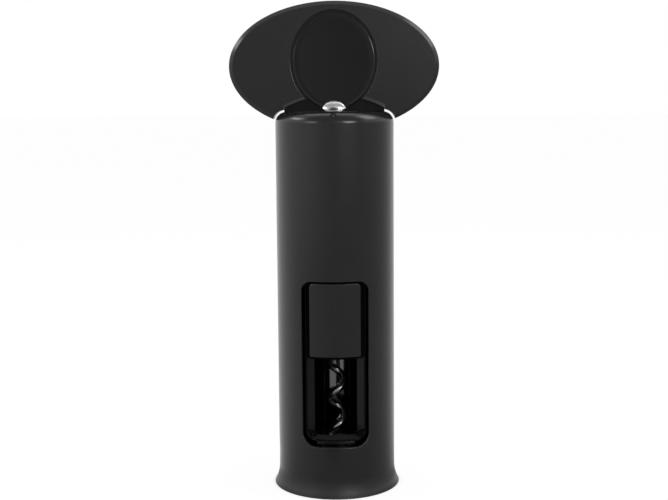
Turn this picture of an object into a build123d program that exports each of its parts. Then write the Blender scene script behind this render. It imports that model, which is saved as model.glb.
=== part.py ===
# Hand-turned self-pulling corkscrew, in millimetres.
# The origin is the centre of the foot, +Z runs up the axis, and the window faces -Y.
import os
from math import atan2, cos, pi, radians, sin, tan

from build123d import *

os.makedirs("parts", exist_ok=True)

# Outer shell
body_height = 154.55
body_top_radius = 24.1
body_taper = 0.05
foot_flare = 1.95
flare_height = 7.4
shoulder_radius = 4.5
shell_wall = 2.0
top_wall = 2.6
window_width = 26.4
window_height = 67.15
window_bottom = 20.6
window_top_corner = 4.0
window_sill_corner = 5.3
window_edge_round = 0.35

# Fits
seat_clearance = 0.2
slide_clearance = 0.3
shaft_clearance = 0.05
pin_clearance = 0.03
thrust_gap = 0.05

# Neck guide ring and its screws
neck_bore_radius = 15.5
neck_ring_length = 16.4
foot_recess = 0.6
neck_lead_in = 1.5
neck_bore_length = 11.5
base_screw_count = 3
base_screw_radius = 1.1
base_screw_head_radius = 2.1
base_screw_head_height = 1.4
base_screw_grip = 7.0

# Inner sleeve
carriage_bore_radius = 16.2
chamber_bore_radius = 14.4
stop_gap = 0.3
track_end_gap = 1.0

# Window frame
frame_width = 24.3
frame_throat_width = 17.2
frame_sill_rise = 1.95
frame_corner = 4.0
frame_throat_corner = 0.9
frame_throat_front = 15.1
frame_sill_bevel = 1.6
frame_slot_rise = 0.2
frame_rim_width = 0.45
frame_rim_height = 0.9
frame_rim_round = 0.15
frame_flange = 0.7
frame_leg = 2.6
frame_lip = 0.25
tab_width = 15.2
tab_reach = 0.9
tab_height = 1.2
tab_edge_round = 0.35

# Carriage
pad_width = 20.3
pad_height = 29.55
pad_top_gap = 0.7
pad_recess = 0.2
pad_top_corner = 1.6
pad_foot_corner = 0.45
pad_edge_round = 0.35
shutter_thickness = 0.9
shutter_drop = 1.2
shutter_corner = 1.0
ring_wall = 3.9
stem_clearance = 0.8
stem_inset = 2.4
seal_thickness = 1.6
seal_edge_round = 0.6
pad_screw_spacing = 14.0
pad_screw_radius = 1.0
pad_screw_head_radius = 1.9
pad_screw_head_height = 1.4
pad_screw_bite = 1.3
spring_thickness = 0.5
spring_height = 12.0
spring_width = 11.2
spring_bow_radius = 12.0

# Bearing
plate_thickness = 4.5
collar_radius = 9.8
bush_wall = 2.15
bush_flange_radius = 8.0
bush_flange_height = 1.5
washer_thickness = 0.95
washer_radius = 9.0
lower_washer_radius = 7.0
clip_thickness = 1.0
clip_radius = 6.4
clip_groove_depth = 0.7
clip_mouth_width = 4.6
cap_screw_count = 3
cap_screw_radius = 1.1
cap_screw_head_radius = 2.0
cap_screw_head_height = 1.8
cap_screw_bite = 1.3
index_notch_inset = 1.05
index_notch_radius = 1.2
index_notch_depth = 2.1
index_pin_radius = 0.6
index_pin_drop = 1.55

# Spindle and worm
shaft_radius = 4.0
spindle_drop = 22.9
socket_depth = 12.0
stub_radius = 2.5
worm_pin_radius = 0.9
worm_tip_height = 12.8
worm_pitch = 15.2
worm_radius = 3.2
wire_radius = 1.5
worm_tip_bearing = 10.0
worm_hub_height = 7.0
worm_hub_rim = 0.3
worm_point_angle = 22.0
neck_radius = 1.8
tang_width = 13.0
tang_thickness = 3.4
tang_height = 18.0
tang_pin_radius = 1.25
tang_pin_spacing = 7.0

# Handle
handle_gap = 0.3
flange_radius = 20.4
flange_thickness = 0.5
flange_edge_round = 0.2
handle_width = 84.4
handle_height = 51.6
handle_rise = 18.0
handle_thickness = 11.0
handle_bevel_width = 1.5
handle_bevel_depth = 1.1
handle_seam = 0.15
wing_gap = 0.8
arch_radius = 43.0
arch_height = 6.5
arch_rim_width = 1.15
arch_rim_height = 0.9
core_thickness = 5.2
core_width = 40.6
core_margin = 2.8
core_clearance = 0.15
disc_width = 33.2
disc_height = 38.6
disc_rise = 20.1
disc_groove = 0.75
disc_pocket_round = 0.3
disc_sink = 0.6
disc_rim_round = 0.45
disc_floor = 0.9
dish_depth = 0.45
dish_margin = 2.3
dish_bulge = 5.0
bead_radius = 4.65
bead_length = 7.0
bead_end_bulge = 4.0
bead_end_half_width = 6.5
bead_end_half_height = 3.9
bead_end_drop = 0.45
bead_rise = 0.05
bead_belly = 1.36
bead_belly_bow = 0.15
bead_seat_radius = 2.6
bead_dome = 2.82
bead_to_tang = 0.35
handle_screw_radius = 1.25
handle_screw_head_radius = 2.3
handle_screw_slot = 0.6
handle_screw_places = ((-9.5, 9.0), (9.5, 9.0), (-11.0, -6.0), (11.0, -6.0))

# Heights and radii that follow from the sizes above
body_foot_radius = body_top_radius + body_taper
foot_radius = body_foot_radius + foot_flare
shell_bore_radius = body_top_radius - shell_wall
shoulder_base = body_height - shoulder_radius
shoulder_centre_radius = body_top_radius - shoulder_radius
window_top = window_bottom + window_height
under_top_wall = body_height - top_wall
plate_bottom = under_top_wall - plate_thickness
handle_bottom = body_height
flange_bottom = handle_bottom - flange_thickness
recess_floor = flange_bottom - handle_gap
collar_top = handle_bottom - thrust_gap - washer_thickness
neck_ring_top = foot_recess + neck_ring_length

sleeve_radius = shell_bore_radius - seat_clearance
shutter_outer = shell_bore_radius - slide_clearance
shutter_inner = shutter_outer - shutter_thickness
frame_face_radius = shutter_inner - slide_clearance
track_radius = frame_face_radius - frame_flange
ring_radius = carriage_bore_radius - slide_clearance
ring_bore_radius = ring_radius - ring_wall
pad_top = window_top - pad_top_gap
pad_bottom = pad_top - pad_height
pad_face_radius = body_top_radius - pad_recess
pad_middle = (pad_top + pad_bottom) / 2
stem_width = frame_throat_width - 2 * stem_clearance
frame_bottom = window_bottom + frame_sill_rise
frame_inner_width = frame_width - 2 * frame_rim_width
slot_width = frame_throat_width + 2 * frame_leg
slot_bottom = frame_bottom + frame_slot_rise
slot_corner = frame_corner - (frame_width - slot_width) / 2
frame_top = window_top + track_end_gap / 2

bush_bottom = plate_bottom - bush_flange_height
bush_radius = shaft_radius + bush_wall
lower_washer_top = bush_bottom - thrust_gap
clip_top = lower_washer_top - washer_thickness
clip_bottom = clip_top - clip_thickness
clip_bore_radius = shaft_radius - clip_groove_depth
spindle_bottom = plate_bottom - spindle_drop
worm_hub_bottom = spindle_bottom - worm_hub_height
worm_hub_radius = worm_radius + wire_radius + worm_hub_rim
screw_circle_radius = (neck_bore_radius + shell_bore_radius) / 2
cap_screw_circle = (collar_radius + shell_bore_radius) / 2 + cap_screw_radius

handle_centre = handle_bottom + handle_rise
half_handle = handle_thickness / 2
half_core = core_thickness / 2
disc_centre = handle_bottom + disc_rise
disc_face = half_handle - disc_sink
disc_back = half_core + disc_floor
arch_top = handle_bottom + arch_height
arch_centre = arch_top - arch_radius
bead_bottom = handle_bottom + bead_rise
bead_waist = bead_bottom + bead_belly
bead_top = bead_waist + bead_dome
half_bead = bead_length / 2
tang_bottom = bead_top + bead_to_tang
tang_pin_height = tang_bottom + tang_height / 2


def front_sector(outer, inner, width):
    """Face of a ring's front stretch, as wide as given across the front."""
    with BuildSketch() as sector:
        Circle(outer)
        Circle(inner, mode=Mode.SUBTRACT)
        with Locations((0, -outer)):
            Rectangle(width, 2 * outer, mode=Mode.INTERSECT)
    return sector.sketch


def turned(*points):
    """Solid turned about Z from a closed profile of radius and height pairs."""
    with BuildPart() as piece:
        with BuildSketch(Plane.XZ):
            with BuildLine():
                Polyline(*points, close=True)
            make_face()
        revolve(axis=Axis.Z)
    return piece.part


def u_outline(width, bottom, top, corner):
    """Upright rectangle with its two lower corners rounded."""
    with BuildSketch() as outline:
        with Locations((0, (bottom + top) / 2)):
            Rectangle(width, top - bottom)
        fillet(outline.vertices().group_by(Axis.Y)[0], corner)
    return outline.sketch


def curved_plate(width, bottom, top, corner, outer, inner):
    """Upright plate with rounded lower corners, curved to a ring between the two radii."""
    with BuildPart() as plate:
        with BuildSketch(Plane.XZ):
            add(u_outline(width, bottom, top, corner))
        extrude(amount=outer)
        with BuildSketch():
            Circle(outer)
            Circle(inner, mode=Mode.SUBTRACT)
        extrude(amount=body_height, mode=Mode.INTERSECT)
    return plate.part


def bead_half(grow):
    """Right half of the bead's lens profile, grown by a clearance."""
    dome_chord = (bead_radius**2 + bead_dome**2) ** 0.5
    dome_bow = dome_chord / 2 * tan(atan2(bead_dome, bead_radius) / 2)
    with BuildSketch() as outline:
        with BuildLine():
            waist = (bead_radius + grow, bead_waist)
            crown = (0, bead_top + grow)
            seat = (bead_seat_radius, bead_bottom - grow)
            SagittaArc(waist, crown, -dome_bow)
            Polyline(crown, (0, bead_bottom - grow), seat)
            SagittaArc(seat, waist, -bead_belly_bow)
        make_face()
    return outline.sketch


def bead_outline(grow):
    """Whole lens profile of the bead, grown by a clearance."""
    with BuildSketch() as outline:
        add(bead_half(grow))
        mirror(about=Plane.YZ)
    return outline.sketch


# Outer shell: moulded tube with a flared foot, a rounded shoulder and the front window.
with BuildPart() as outer_shell:
    with BuildSketch(Plane.XZ):
        with BuildLine():
            wall_foot = (body_foot_radius, flare_height)
            wall_head = (body_top_radius, shoulder_base)
            top_hole = collar_radius + seat_clearance
            Line((shell_bore_radius, 0), (foot_radius, 0))
            TangentArc(wall_foot, (foot_radius, 0), tangent=(0, -1))
            Line(wall_foot, wall_head)
            CenterArc((shoulder_centre_radius, shoulder_base), shoulder_radius, 0, 90)
            Polyline(
                (shoulder_centre_radius, body_height),
                (top_hole, body_height),
                (top_hole, under_top_wall),
                (shell_bore_radius, under_top_wall),
                (shell_bore_radius, 0),
            )
        make_face()
    revolve(axis=Axis.Z)
    with BuildSketch(Plane.XZ) as window:
        with Locations((0, (window_bottom + window_top) / 2)):
            Rectangle(window_width, window_height)
        fillet(window.vertices().group_by(Axis.Y)[0], window_sill_corner)
        fillet(window.vertices().group_by(Axis.Y)[-1], window_top_corner)
    extrude(amount=foot_radius, mode=Mode.SUBTRACT)
    mid_wall = (shell_bore_radius + body_top_radius) / 2
    window_edges = outer_shell.edges().filter_by(
        lambda edge: edge.center().Z > window_bottom - window_edge_round
        and edge.center().Z < window_top + window_edge_round
        and edge.center().Y < 0
        and (edge @ 0).Y ** 2 + (edge @ 0).X ** 2 > mid_wall**2
        and (edge @ 1).Y ** 2 + (edge @ 1).X ** 2 > mid_wall**2
        and abs(edge.center().X) < window_width
    )
    fillet(window_edges, window_edge_round)
    with BuildSketch(Plane.XY.offset(body_height - index_notch_depth)):
        with Locations((0, index_notch_inset - body_top_radius)):
            Circle(index_notch_radius)
    extrude(amount=index_notch_depth, mode=Mode.SUBTRACT)
    with BuildSketch(Plane.XY.offset(recess_floor)):
        Circle(flange_radius + handle_gap)
    extrude(amount=body_height - recess_floor, mode=Mode.SUBTRACT)
    with BuildSketch(Plane.XY.offset(under_top_wall)):
        with PolarLocations(cap_screw_circle, cap_screw_count, start_angle=30):
            Circle(cap_screw_radius + pin_clearance)
    extrude(amount=cap_screw_bite, mode=Mode.SUBTRACT)
outer_shell.part.label = "outer_shell"
export_step(outer_shell.part, "parts/outer_shell.step")

# Inner sleeve: lining tube with the carriage's bore below a stop ledge and the cork chamber above.
with BuildPart() as inner_sleeve:
    stop_ledge = pad_top + stop_gap
    add(
        turned(
            (carriage_bore_radius, neck_ring_top),
            (sleeve_radius, neck_ring_top),
            (sleeve_radius, plate_bottom),
            (chamber_bore_radius, plate_bottom),
            (chamber_bore_radius, stop_ledge),
            (carriage_bore_radius, stop_ledge),
        )
    )
    track_bottom = window_bottom - track_end_gap
    track_height = window_height + 2 * track_end_gap
    with BuildSketch(Plane.XY.offset(track_bottom)):
        add(front_sector(shell_bore_radius, track_radius, frame_width + 2 * seat_clearance))
    extrude(amount=track_height, mode=Mode.SUBTRACT)
    with BuildSketch(Plane.XZ):
        add(
            u_outline(
                slot_width + 2 * pin_clearance,
                slot_bottom - pin_clearance,
                frame_top + pin_clearance,
                slot_corner + pin_clearance,
            )
        )
    extrude(amount=shell_bore_radius, mode=Mode.SUBTRACT)
    with BuildSketch(Plane.XY.offset(neck_ring_top)):
        with PolarLocations(screw_circle_radius, base_screw_count, start_angle=90):
            Circle(base_screw_radius + pin_clearance)
    extrude(amount=base_screw_grip, mode=Mode.SUBTRACT)
inner_sleeve.part.label = "inner_sleeve"
export_step(inner_sleeve.part, "parts/inner_sleeve.step")

# Opening of the window frame: bevelled sides, and a sill whose front edge is bevelled along the curve.
throat_radius = carriage_bore_radius + slide_clearance
throat_half = frame_throat_width / 2
face_half = frame_inner_width / 2 - frame_lip
face_depth = (frame_face_radius**2 - face_half**2) ** 0.5
bevel_slope = (face_half - throat_half) / (face_depth - frame_throat_front)
mouth_half = throat_half + bevel_slope * (shell_bore_radius - frame_throat_front)
sill_height = frame_bottom + frame_rim_width
sill_top = sill_height + frame_sill_bevel
sill_edge_radius = frame_face_radius - frame_sill_bevel / bevel_slope
corner_growth = (frame_corner - frame_rim_width - frame_throat_corner) / (face_depth - frame_throat_front)
mouth_corner = frame_throat_corner + corner_growth * (shell_bore_radius - frame_throat_front)
with BuildPart() as frame_opening:
    with BuildSketch(Plane.XZ.offset(shell_bore_radius)):
        add(u_outline(2 * mouth_half, sill_top, body_height, mouth_corner))
    with BuildSketch(Plane.XZ.offset(frame_throat_front)):
        add(u_outline(frame_throat_width, sill_top, body_height, frame_throat_corner))
    loft()
    with BuildSketch(Plane.XZ.offset(frame_throat_front)):
        add(u_outline(frame_throat_width, sill_top, body_height, frame_throat_corner))
    extrude(amount=-frame_leg)
    add(
        turned(
            (sill_edge_radius, sill_top),
            (frame_face_radius, sill_height),
            (shell_bore_radius, sill_height),
            (shell_bore_radius, sill_top),
        )
    )

# Sill tab: small lip on the frame's sill that stands out into the window.
with BuildPart() as sill_tab:
    with BuildSketch(Plane.XY.offset(sill_height - tab_height)):
        add(front_sector(shell_bore_radius + tab_reach, frame_face_radius, tab_width))
    extrude(amount=tab_height)
    lip_edges = sill_tab.edges().filter_by(GeomType.CIRCLE).group_by(Axis.Z)[-1]
    fillet(lip_edges.sort_by(Axis.Y)[0], tab_edge_round)

# Frame rim: thin raised line round the outside of the frame, with rounded edges.
with BuildPart() as frame_rim:
    rim_radius = frame_face_radius + frame_rim_height
    inner_corner = frame_corner - frame_rim_width
    with BuildSketch(Plane.XZ):
        add(u_outline(frame_width, frame_bottom, frame_top, frame_corner))
    extrude(amount=shell_bore_radius)
    with BuildSketch():
        Circle(rim_radius)
        Circle(track_radius, mode=Mode.SUBTRACT)
    extrude(amount=body_height, mode=Mode.INTERSECT)
    with BuildSketch(Plane.XZ):
        add(u_outline(frame_inner_width, sill_height, frame_top, inner_corner))
    extrude(amount=shell_bore_radius, mode=Mode.SUBTRACT)
    rim_faces = frame_rim.faces().filter_by(GeomType.CYLINDER)
    rim_faces = rim_faces.filter_by(lambda face: abs(face.radius - rim_radius) < pin_clearance)
    rim_edges = rim_faces.edges().filter_by(lambda edge: edge.center().Z < frame_top - frame_rim_width)
    fillet(rim_edges, frame_rim_round)

# Window frame: U-shaped glossy frame with bevelled legs, a thin raised rim and a sill tab.
with BuildPart() as window_frame:
    add(
        curved_plate(
            frame_inner_width, sill_height, frame_top, inner_corner, frame_face_radius, track_radius
        )
    )
    add(curved_plate(slot_width, slot_bottom, frame_top, slot_corner, track_radius, throat_radius))
    add(frame_opening.part, mode=Mode.SUBTRACT)
    add(frame_rim.part)
    add(sill_tab.part)
window_frame.part.label = "window_frame"
export_step(window_frame.part, "parts/window_frame.step")

# Neck guide ring: turned ring in the foot that steers the bottle's neck on to the worm.
with BuildPart() as neck_guide_ring:
    add(
        turned(
            (neck_bore_radius + neck_lead_in, foot_recess),
            (shell_bore_radius - seat_clearance, foot_recess),
            (shell_bore_radius - seat_clearance, neck_ring_top),
            (carriage_bore_radius, neck_ring_top),
            (neck_bore_radius, foot_recess + neck_lead_in + neck_bore_length),
            (neck_bore_radius, foot_recess + neck_lead_in),
        )
    )
    with BuildSketch(Plane.XY.offset(foot_recess)):
        with PolarLocations(screw_circle_radius, base_screw_count, start_angle=90):
            Circle(base_screw_radius + pin_clearance)
    extrude(amount=neck_ring_length, mode=Mode.SUBTRACT)
    with BuildSketch(Plane.XY.offset(foot_recess)):
        with PolarLocations(screw_circle_radius, base_screw_count, start_angle=90):
            Circle(base_screw_head_radius + pin_clearance)
    extrude(amount=base_screw_head_height, mode=Mode.SUBTRACT)
neck_guide_ring.part.label = "neck_guide_ring"
export_step(neck_guide_ring.part, "parts/neck_guide_ring.step")


def slotted_screw(head_radius, head_height, radius, length):
    """Slotted screw standing on its head at the origin, with its shank upwards."""
    slot = head_radius / 4
    with BuildPart() as screw:
        with BuildSketch():
            Circle(head_radius)
        extrude(amount=head_height)
        with BuildSketch(Plane.XY.offset(head_height)):
            Circle(radius)
        extrude(amount=length)
        with BuildSketch():
            Rectangle(2 * head_radius, slot)
        extrude(amount=head_height / 2, mode=Mode.SUBTRACT)
    return screw.part


# Base screws: they hold the guide ring up against the sleeve.
with BuildPart() as base_screws:
    base_screw = slotted_screw(
        base_screw_head_radius,
        base_screw_head_height,
        base_screw_radius,
        neck_ring_length - base_screw_head_height + base_screw_grip - pin_clearance,
    )
    with Locations((0, 0, foot_recess)):
        with PolarLocations(screw_circle_radius, base_screw_count, start_angle=90):
            add(base_screw)
base_screws.part.label = "base_screws"
export_step(base_screws.part, "parts/base_screws.step")

# Bearing plate: it hangs under the shell's top wall, and its collar fills the wall's hole.
with BuildPart() as bearing_plate:
    plate_bore = bush_radius + pin_clearance
    add(
        turned(
            (plate_bore, plate_bottom),
            (sleeve_radius, plate_bottom),
            (sleeve_radius, under_top_wall),
            (collar_radius, under_top_wall),
            (collar_radius, collar_top),
            (plate_bore, collar_top),
        )
    )
    with BuildSketch(Plane.XY.offset(plate_bottom)):
        with PolarLocations(cap_screw_circle, cap_screw_count, start_angle=30):
            Circle(cap_screw_radius + pin_clearance)
    extrude(amount=plate_thickness, mode=Mode.SUBTRACT)
    with BuildSketch(Plane.XY.offset(plate_bottom)):
        with PolarLocations(cap_screw_circle, cap_screw_count, start_angle=30):
            Circle(cap_screw_head_radius + pin_clearance)
    extrude(amount=cap_screw_head_height, mode=Mode.SUBTRACT)
bearing_plate.part.label = "bearing_plate"
export_step(bearing_plate.part, "parts/bearing_plate.step")

# Shaft bush: flanged plain bearing pressed into the plate from below.
with BuildPart() as shaft_bush:
    bush_bore = shaft_radius + shaft_clearance
    add(
        turned(
            (bush_bore, bush_bottom),
            (bush_flange_radius, bush_bottom),
            (bush_flange_radius, plate_bottom),
            (bush_radius, plate_bottom),
            (bush_radius, collar_top),
            (bush_bore, collar_top),
        )
    )
shaft_bush.part.label = "shaft_bush"
export_step(shaft_bush.part, "parts/shaft_bush.step")

# Upper thrust washer: it carries the handle while the worm pulls.
with BuildPart() as thrust_washer_upper:
    washer_bore = shaft_radius + shaft_clearance
    add(
        turned(
            (washer_bore, collar_top),
            (washer_radius, collar_top),
            (washer_radius, collar_top + washer_thickness),
            (washer_bore, collar_top + washer_thickness),
        )
    )
thrust_washer_upper.part.label = "thrust_washer_upper"
export_step(thrust_washer_upper.part, "parts/thrust_washer_upper.step")

# Cap screws: they draw the bearing plate up against the shell's top wall.
with BuildPart() as cap_screws:
    cap_screw = slotted_screw(
        cap_screw_head_radius,
        cap_screw_head_height,
        cap_screw_radius,
        plate_thickness - cap_screw_head_height + cap_screw_bite - pin_clearance,
    )
    with Locations((0, 0, plate_bottom)):
        with PolarLocations(cap_screw_circle, cap_screw_count, start_angle=30):
            add(cap_screw)
cap_screws.part.label = "cap_screws"
export_step(cap_screws.part, "parts/cap_screws.step")

# Index pin: small bright pin in the notch at the front of the shoulder.
with BuildPart() as index_pin:
    with BuildSketch(Plane.XY.offset(body_height - index_notch_depth)):
        with Locations((0, index_notch_inset - body_top_radius)):
            Circle(index_pin_radius)
    extrude(amount=index_notch_depth - index_pin_drop)
    fillet(index_pin.edges().group_by(Axis.Z)[-1], index_pin_radius / 2)
index_pin.part.label = "index_pin"
export_step(index_pin.part, "parts/index_pin.step")

# Spindle: turned steel shaft with a clip groove, a socket for the worm and a flat tang.
with BuildPart() as spindle:
    add(
        turned(
            (0, spindle_bottom),
            (shaft_radius, spindle_bottom),
            (shaft_radius, clip_bottom - pin_clearance),
            (clip_bore_radius, clip_bottom - pin_clearance),
            (clip_bore_radius, clip_top),
            (shaft_radius, clip_top),
            (shaft_radius, handle_bottom),
            (neck_radius, handle_bottom),
            (neck_radius, tang_bottom),
            (0, tang_bottom),
        )
    )
    with BuildSketch(Plane.XY.offset(tang_bottom)):
        Rectangle(tang_width, tang_thickness)
    extrude(amount=tang_height)
    with BuildSketch(Plane.XY.offset(spindle_bottom)):
        Circle(stub_radius + pin_clearance)
    extrude(amount=socket_depth, mode=Mode.SUBTRACT)
    with BuildSketch(Plane.YZ.offset(-shaft_radius)):
        with Locations((0, spindle_bottom + socket_depth / 2)):
            Circle(worm_pin_radius + pin_clearance)
    extrude(amount=2 * shaft_radius, mode=Mode.SUBTRACT)
    with BuildSketch(Plane.XZ.offset(-half_core)):
        with Locations((0, tang_pin_height)):
            with GridLocations(tang_pin_spacing, 1, 2, 1):
                Circle(tang_pin_radius + pin_clearance)
    extrude(amount=core_thickness, mode=Mode.SUBTRACT)
spindle.part.label = "spindle"
export_step(spindle.part, "parts/spindle.step")

# Worm: right-handed helix of coated wire with a slanted point, a hub and a socket stub.
with BuildPart() as worm_wire:
    worm_height = worm_hub_bottom + worm_hub_height / 2 - worm_tip_height
    worm_lead = atan2(worm_pitch, 2 * pi * worm_radius)
    wire_heading = Vector(0, cos(worm_lead), sin(worm_lead))
    wire_upward = Vector(0, -sin(worm_lead), cos(worm_lead))
    with BuildLine() as worm_path:
        Helix(worm_pitch, worm_height, worm_radius, center=(0, 0, worm_tip_height))
    with BuildSketch(Plane((worm_radius, 0, worm_tip_height), z_dir=wire_heading)):
        Circle(wire_radius)
    sweep(path=worm_path.line, is_frenet=True)
    point_slant = radians(worm_point_angle)
    point_length = 2 * wire_radius / tan(point_slant)
    point_middle = Vector(worm_radius, 0, worm_tip_height) + wire_heading * (point_length / 2)
    point_facing = wire_upward * -cos(point_slant) - wire_heading * sin(point_slant)
    with BuildSketch(Plane(point_middle, z_dir=point_facing)):
        Rectangle(2 * point_length, 2 * point_length)
    extrude(amount=2 * wire_radius, mode=Mode.SUBTRACT)
with BuildPart() as worm:
    with Locations(Rotation(0, 0, worm_tip_bearing)):
        add(worm_wire.part)
    with BuildSketch(Plane.XY.offset(worm_hub_bottom)):
        Circle(worm_hub_radius)
    extrude(amount=worm_hub_height)
    chamfer(worm.faces().filter_by(Plane.XY).sort_by(Axis.Z)[-1].edges(), worm_hub_rim)
    with BuildSketch(Plane.XY.offset(spindle_bottom)):
        Circle(stub_radius)
    extrude(amount=socket_depth - pin_clearance)
    with BuildSketch(Plane.YZ.offset(-shaft_radius)):
        with Locations((0, spindle_bottom + socket_depth / 2)):
            Circle(worm_pin_radius + pin_clearance)
    extrude(amount=2 * shaft_radius, mode=Mode.SUBTRACT)
worm.part.label = "worm"
export_step(worm.part, "parts/worm.step")

# Worm pin: cross pin through spindle and stub.
with BuildPart() as worm_pin:
    with BuildSketch(Plane.YZ.offset(-shaft_radius)):
        with Locations((0, spindle_bottom + socket_depth / 2)):
            Circle(worm_pin_radius)
    extrude(amount=2 * shaft_radius)
worm_pin.part.label = "worm_pin"
export_step(worm_pin.part, "parts/worm_pin.step")

# Lower thrust washer and clip: they keep the spindle from lifting out of the bush.
with BuildPart() as thrust_washer_lower:
    add(
        turned(
            (shaft_radius + pin_clearance, clip_top),
            (lower_washer_radius, clip_top),
            (lower_washer_radius, lower_washer_top),
            (shaft_radius + pin_clearance, lower_washer_top),
        )
    )
thrust_washer_lower.part.label = "thrust_washer_lower"
export_step(thrust_washer_lower.part, "parts/thrust_washer_lower.step")

with BuildPart() as retaining_clip:
    with BuildSketch(Plane.XY.offset(clip_bottom)):
        Circle(clip_radius)
        Circle(clip_bore_radius + pin_clearance, mode=Mode.SUBTRACT)
        with Locations((clip_radius, 0)):
            Rectangle(2 * clip_radius, clip_mouth_width, mode=Mode.SUBTRACT)
    extrude(amount=clip_thickness)
retaining_clip.part.label = "retaining_clip"
export_step(retaining_clip.part, "parts/retaining_clip.step")


def core_outline(grow):
    """Outline of the handle's core plate, grown by a clearance except along its foot."""
    with BuildSketch() as outline:
        with Locations((0, handle_centre)):
            Ellipse(
                handle_width / 2 - core_margin + grow,
                handle_height / 2 - core_margin + grow,
            )
        with Locations((0, arch_top - handle_height)):
            Rectangle(2 * handle_width, 2 * handle_height - arch_height, mode=Mode.SUBTRACT)
        with Locations((0, (handle_bottom + handle_centre) / 2)):
            Rectangle(core_width + 2 * grow, handle_rise)
    return outline.sketch


def wing_cut():
    """Everything below the arch and round the body's shoulder that the handle halves leave open."""
    with BuildSketch() as cut:
        with Locations((0, arch_centre)):
            Circle(arch_radius)
            Rectangle(core_width + 2 * core_clearance, 2 * arch_radius, mode=Mode.INTERSECT)
        with Locations((0, shoulder_base)):
            with GridLocations(2 * shoulder_centre_radius, 1, 2, 1):
                Circle(shoulder_radius + wing_gap)
        with Locations((0, shoulder_base - handle_rise)):
            Rectangle(2 * (body_top_radius + wing_gap), 2 * handle_rise)
    return cut.sketch


def disc_outline(grow):
    """Oval outline of the thumb disc, grown by a gap."""
    with BuildSketch() as outline:
        with Locations((0, disc_centre)):
            Ellipse(disc_width / 2 + grow, disc_height / 2 + grow)
    return outline.sketch


def screw_head(grow):
    """Countersunk head that stands on its broad face at the origin, grown by a clearance."""
    with BuildPart() as head:
        with BuildSketch(Plane.XZ):
            with BuildLine():
                Polyline(
                    (0, 0),
                    (handle_screw_head_radius + grow, 0),
                    (handle_screw_radius + grow, disc_floor),
                    (0, disc_floor),
                    close=True,
                )
            make_face()
        revolve(axis=Axis.Z)
    return head.part


# Arch rim: ridge along the handle's face above the arch, with a top that slopes back to the face.
with BuildPart() as arch_rim:
    with BuildSketch(Plane.YZ):
        with BuildLine():
            Polyline(
                (-half_handle, arch_top),
                (-half_handle - arch_rim_height, arch_top),
                (-half_handle, arch_top + arch_rim_width),
                close=True,
            )
        make_face()
    revolve(axis=Axis((0, 0, arch_centre), (0, 1, 0)))
    with BuildSketch(Plane.XZ):
        with Locations((0, handle_centre)):
            Rectangle(core_width + 2 * core_clearance, handle_height)
    extrude(amount=handle_thickness, mode=Mode.INTERSECT)

# Handle half: bevelled oval with a pocket for the thumb disc and an arch that shows the core.
with BuildPart() as handle_half:
    with BuildSketch(Plane.XZ.offset(handle_seam / 2)):
        with Locations((0, handle_centre)):
            Ellipse(handle_width / 2, handle_height / 2)
    extrude(amount=half_handle - handle_seam / 2)
    chamfer(
        handle_half.faces().sort_by(Axis.Y)[0].edges(), handle_bevel_depth, handle_bevel_width
    )
    face_edges = handle_half.faces().sort_by(Axis.Y)[0].edges()
    with BuildSketch(Plane.XZ.offset(disc_back)):
        add(disc_outline(disc_groove))
    extrude(amount=half_handle, mode=Mode.SUBTRACT)
    pocket_edges = handle_half.faces().sort_by(Axis.Y)[0].edges() - face_edges
    fillet(pocket_edges, disc_pocket_round)
    add(arch_rim.part)
    with BuildSketch(Plane.XZ.offset(disc_back)):
        add(disc_outline(disc_groove))
    extrude(amount=half_handle, mode=Mode.SUBTRACT)
    with BuildSketch(Plane.XZ):
        add(core_outline(core_clearance))
    extrude(amount=half_core + pin_clearance, mode=Mode.SUBTRACT)
    with BuildSketch(Plane.XZ):
        add(wing_cut())
    extrude(amount=handle_thickness, mode=Mode.SUBTRACT)
    with BuildSketch(Plane.XZ):
        with Locations((0, disc_centre)):
            with Locations(*handle_screw_places):
                Circle(handle_screw_radius + pin_clearance)
    extrude(amount=handle_thickness, mode=Mode.SUBTRACT)

# Handle front: the half with countersinks for the screw heads.
with BuildPart() as handle_front:
    add(handle_half.part)
    with Locations((0, -disc_back, disc_centre)):
        for place_x, place_z in handle_screw_places:
            with Locations(Location((place_x, 0, place_z), (-90, 0, 0))):
                add(screw_head(pin_clearance), mode=Mode.SUBTRACT)
handle_front.part.label = "handle_front"
export_step(handle_front.part, "parts/handle_front.step")

with BuildPart() as handle_back:
    mirror(handle_half.part, about=Plane.XZ)
handle_back.part.label = "handle_back"
export_step(handle_back.part, "parts/handle_back.step")

# Core flange: thin round foot of the core that turns in the recess of the shell's top.
with BuildPart() as core_flange:
    with BuildSketch(Plane.XY.offset(flange_bottom)):
        Circle(flange_radius)
    extrude(amount=flange_thickness)
    fillet(core_flange.edges().group_by(Axis.Z)[-1], flange_edge_round)
    with BuildSketch(Plane.XY.offset(flange_bottom)):
        Circle(washer_radius + handle_gap)
    extrude(amount=flange_thickness, mode=Mode.SUBTRACT)

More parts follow.
